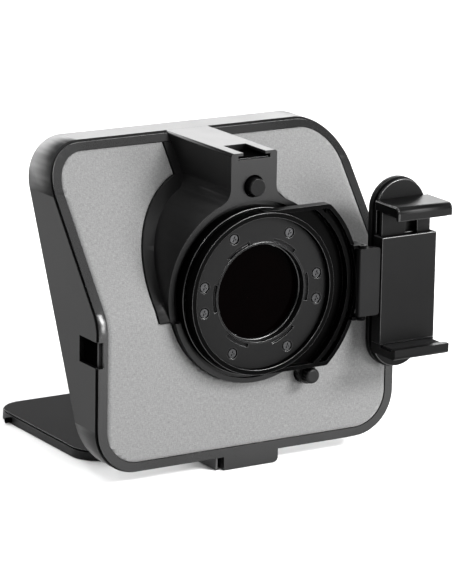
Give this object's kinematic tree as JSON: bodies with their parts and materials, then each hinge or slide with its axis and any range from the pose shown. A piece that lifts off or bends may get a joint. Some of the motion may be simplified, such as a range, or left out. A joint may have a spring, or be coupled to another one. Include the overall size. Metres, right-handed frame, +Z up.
{
  "type": "lens-mounted teleprompter",
  "caption": "Teleprompter hood with a leaning fabric back, a lens adapter with a lock, a folding arm with a spring phone clamp, and a hinged tray under its mirror glass.",
  "frame": {"origin": "mouth of the tripod thread, on the underside of the foot block", "axes": "+X to the right seen from the camera side, +Y forwards to the reader, +Z up"},
  "size_m": [0.1877, 0.1763, 0.1632],
  "materials": {
    "hood_plastic": "fine spark texture",
    "bezel_plastic": "satin",
    "panel_fabric": "fine woven heather, stretched",
    "board_plastic": "matte",
    "housing_plastic": "semi-gloss",
    "black_metal": "satin black anodised",
    "disc_metal": "satin black anodised",
    "arm_metal": "satin black",
    "clamp_plastic": "satin",
    "jaw_plastic": "semi-gloss",
    "button_plastic": "satin",
    "knob_plastic": "satin, ribbed",
    "tray_plastic": "fine texture",
    "tray_cover": "fine texture",
    "bond_layer": "adhesive",
    "block_plastic": "satin",
    "steel": "plain",
    "black_screw": "black oxide",
    "spring_steel": "drawn wire",
    "brass": "turned",
    "tube_gloss": "high gloss",
    "coated_glass": "dark coated",
    "mirror_glass": "partly reflecting",
    "rubber": "matte",
    "foam": "closed-cell foam"
  },
  "bodies": {
    "hood": {"hood_shell": "hood_plastic", "rear_frame": "bezel_plastic", "fabric_panel": "panel_fabric", "panel_board": "board_plastic", "frame_screws": "black_screw", "lens_housing": "housing_plastic", "shoe_plate": "steel", "lens_collar": "black_metal", "light_seal": "foam", "notch_covers": "foam", "glass_bezel": "bezel_plastic", "beam_splitter": "mirror_glass", "glass_gasket": "rubber", "glass_frame": "hood_plastic", "tripod_block": "block_plastic", "thread_insert": "brass", "block_screws": "black_screw", "button_spring": "spring_steel"},
    "tray": {"tray_base": "tray_plastic", "tray_bond": "bond_layer", "tray_top_plate": "tray_cover", "tray_latch_pins": "steel", "tray_hinge_pin": "steel"},
    "button": {"release_button": "button_plastic", "latch_bar": "steel"},
    "lock": {"lock_knob": "knob_plastic"},
    "adapter": {"adapter_plate": "black_metal", "adapter_spigot": "black_metal", "ring_disc": "disc_metal", "ring_screws": "black_screw", "aperture_tube": "tube_gloss", "aperture_glass": "coated_glass", "glass_retainer": "black_metal", "arm_hinge_pin": "steel"},
    "arm": {"phone_arm": "arm_metal", "clamp_rail": "arm_metal", "rail_cover": "clamp_plastic"},
    "clamp": {"clamp_body": "clamp_plastic", "slide_shoe": "steel", "lower_jaw": "jaw_plastic", "lower_jaw_pad": "rubber", "guide_rods": "steel", "clamp_springs": "spring_steel"},
    "jaw": {"upper_jaw": "jaw_plastic", "jaw_stem": "clamp_plastic", "upper_jaw_pad": "rubber"}
  },
  "joints": [
    {"name": "tray_fold", "type": "hinge", "parent": "hood", "child": "tray", "pos_m": [0, 0.0215, 0.0021], "axis": [1, 0, 0], "range_deg": [0, 76]},
    {"name": "button_push", "type": "slide", "parent": "hood", "child": "button", "axis": [0, 1, 0], "range_m": [0, 0.0025], "stiffness_N_per_m": 600, "springref_m": -0.002, "deforming": ["button_spring"]},
    {"name": "lock_turn", "type": "hinge", "parent": "hood", "child": "lock", "pos_m": [0.032, -0.026, 0.0455], "axis": [0, 1, 0], "range_deg": [0, 360]},
    {"name": "adapter_pull", "type": "slide", "parent": "hood", "child": "adapter", "axis": [0, -1, 0], "range_m": [0, 0.025]},
    {"name": "arm_fold", "type": "hinge", "parent": "adapter", "child": "arm", "pos_m": [0.0564, -0.0335, 0.0929], "axis": [0, 0, -1], "range_deg": [0, 90]},
    {"name": "clamp_height", "type": "slide", "parent": "arm", "child": "clamp", "axis": [0, 0, 1], "range_m": [-0.009, 0.009]},
    {"name": "jaw_open", "type": "slide", "parent": "clamp", "child": "jaw", "axis": [0, 0, 1], "range_m": [0, 0.026], "stiffness_N_per_m": 150, "springref_m": -0.02, "deforming": ["clamp_springs"]}
  ]
}
